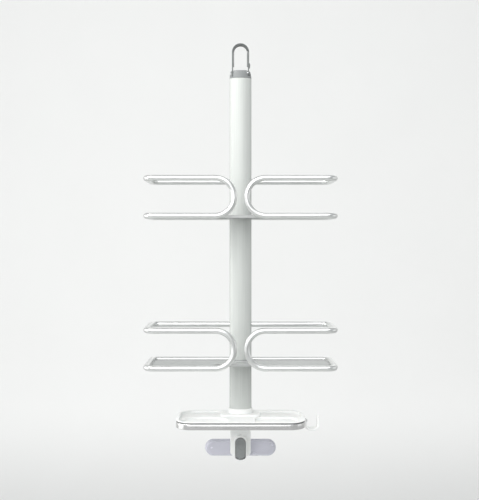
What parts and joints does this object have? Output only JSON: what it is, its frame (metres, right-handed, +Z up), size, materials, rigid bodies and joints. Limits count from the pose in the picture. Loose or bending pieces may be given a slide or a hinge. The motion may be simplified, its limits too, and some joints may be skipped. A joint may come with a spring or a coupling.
{
  "type": "shower caddy",
  "caption": "Hanging shower caddy with a gated hook, sliding wire shelves on a pole, a soap tray with a side hook, and a suction foot with a flip lever.",
  "frame": {"origin": "centre of the shower arm that the hook hangs on", "axes": "+Z up along the pole, -Y towards the user, +X to the user's right"},
  "size_m": [0.311, 0.1098, 0.6992],
  "materials": {
    "anodised_aluminium": "satin anodised",
    "sheet_aluminium": "matt anodised sheet",
    "polished_trim": "polished",
    "grey_hook_metal": "satin grey coating",
    "steel_hardware": "turned and plated",
    "white_plastic": "gloss moulded",
    "grey_plastic": "matt moulded",
    "grey_rubber": "matt",
    "clear_vinyl": "clear soft vinyl, slightly hazy"
  },
  "bodies": {
    "caddy_frame": {"pole": "anodised_aluminium", "neck_cap": "grey_plastic", "hanger_hook": "grey_hook_metal", "hook_grip": "grey_rubber", "hook_screw": "steel_hardware", "gate_pin": "steel_hardware", "gate_spring": "steel_hardware", "tray": "white_plastic", "tray_trim": "polished_trim", "tray_seal": "grey_rubber", "side_hook": "white_plastic", "side_hook_screw": "steel_hardware", "suction_housing": "white_plastic", "suction_cup": "clear_vinyl", "left_tray_screw": "steel_hardware", "right_tray_screw": "steel_hardware"},
    "gate": {"ring_gate": "grey_hook_metal", "gate_grip": "grey_rubber"},
    "cup_plunger": {"plunger": "steel_hardware", "lever_pin": "steel_hardware"},
    "cup_lever": {"suction_lever": "grey_plastic"},
    "upper_shelf": {"upper_left_rail": "anodised_aluminium", "upper_right_rail": "anodised_aluminium", "upper_shelf_plate": "sheet_aluminium", "upper_pole_bush": "grey_plastic", "upper_carriage": "grey_plastic", "upper_carriage_cover": "grey_plastic", "upper_button_spring": "steel_hardware", "upper_low_cover_screw": "steel_hardware", "upper_high_cover_screw": "steel_hardware", "upper_left_low_grub_screw": "steel_hardware", "upper_left_high_grub_screw": "steel_hardware", "upper_right_low_grub_screw": "steel_hardware", "upper_right_high_grub_screw": "steel_hardware"},
    "upper_left_button_body": {"upper_left_button": "grey_plastic"},
    "upper_right_button_body": {"upper_right_button": "grey_plastic"},
    "lower_shelf": {"lower_left_rail": "anodised_aluminium", "lower_right_rail": "anodised_aluminium", "lower_shelf_plate": "sheet_aluminium", "lower_pole_bush": "grey_plastic", "lower_carriage": "grey_plastic", "lower_carriage_cover": "grey_plastic", "lower_button_spring": "steel_hardware", "lower_low_cover_screw": "steel_hardware", "lower_high_cover_screw": "steel_hardware", "lower_left_low_grub_screw": "steel_hardware", "lower_left_high_grub_screw": "steel_hardware", "lower_right_low_grub_screw": "steel_hardware", "lower_right_high_grub_screw": "steel_hardware"},
    "lower_left_button_body": {"lower_left_button": "grey_plastic"},
    "lower_right_button_body": {"lower_right_button": "grey_plastic"}
  },
  "joints": [
    {"name": "gate_hinge", "type": "hinge", "parent": "caddy_frame", "child": "gate", "pos_m": [0.0122, 0, -0.0356], "axis": [0, 1, 0], "range_deg": [0, 75], "stiffness_Nm_per_rad": 0.02, "springref_deg": -28.65},
    {"name": "cup_plunger_slide", "type": "slide", "parent": "caddy_frame", "child": "cup_plunger", "axis": [0, 1, 0], "range_m": [0, 0.0025]},
    {"name": "cup_lever_flip", "type": "hinge", "parent": "cup_plunger", "child": "cup_lever", "pos_m": [0, -0.0165, -0.6705], "axis": [1, 0, 0], "range_deg": [0, 90]},
    {"name": "upper_shelf_slide", "type": "slide", "parent": "caddy_frame", "child": "upper_shelf", "axis": [0, 0, 1], "range_m": [-0.07, 0.14]},
    {"name": "upper_left_button_press", "type": "slide", "parent": "upper_shelf", "child": "upper_left_button_body", "axis": [1, 0, 0], "range_m": [0, 0.0025], "stiffness_N_per_m": 400, "springref_m": -0.004},
    {"name": "upper_right_button_press", "type": "slide", "parent": "upper_shelf", "child": "upper_right_button_body", "axis": [-1, 0, 0], "range_m": [0, 0.0025], "stiffness_N_per_m": 400, "springref_m": -0.004},
    {"name": "lower_shelf_slide", "type": "slide", "parent": "caddy_frame", "child": "lower_shelf", "axis": [0, 0, 1], "range_m": [-0.06, 0.09]},
    {"name": "lower_left_button_press", "type": "slide", "parent": "lower_shelf", "child": "lower_left_button_body", "axis": [1, 0, 0], "range_m": [0, 0.0025], "stiffness_N_per_m": 400, "springref_m": -0.004},
    {"name": "lower_right_button_press", "type": "slide", "parent": "lower_shelf", "child": "lower_right_button_body", "axis": [-1, 0, 0], "range_m": [0, 0.0025], "stiffness_N_per_m": 400, "springref_m": -0.004}
  ],
  "couplings": [
    {"joint": "cup_plunger_slide", "follows": "cup_lever_flip", "m_per_rad": 0.0015915}
  ]
}
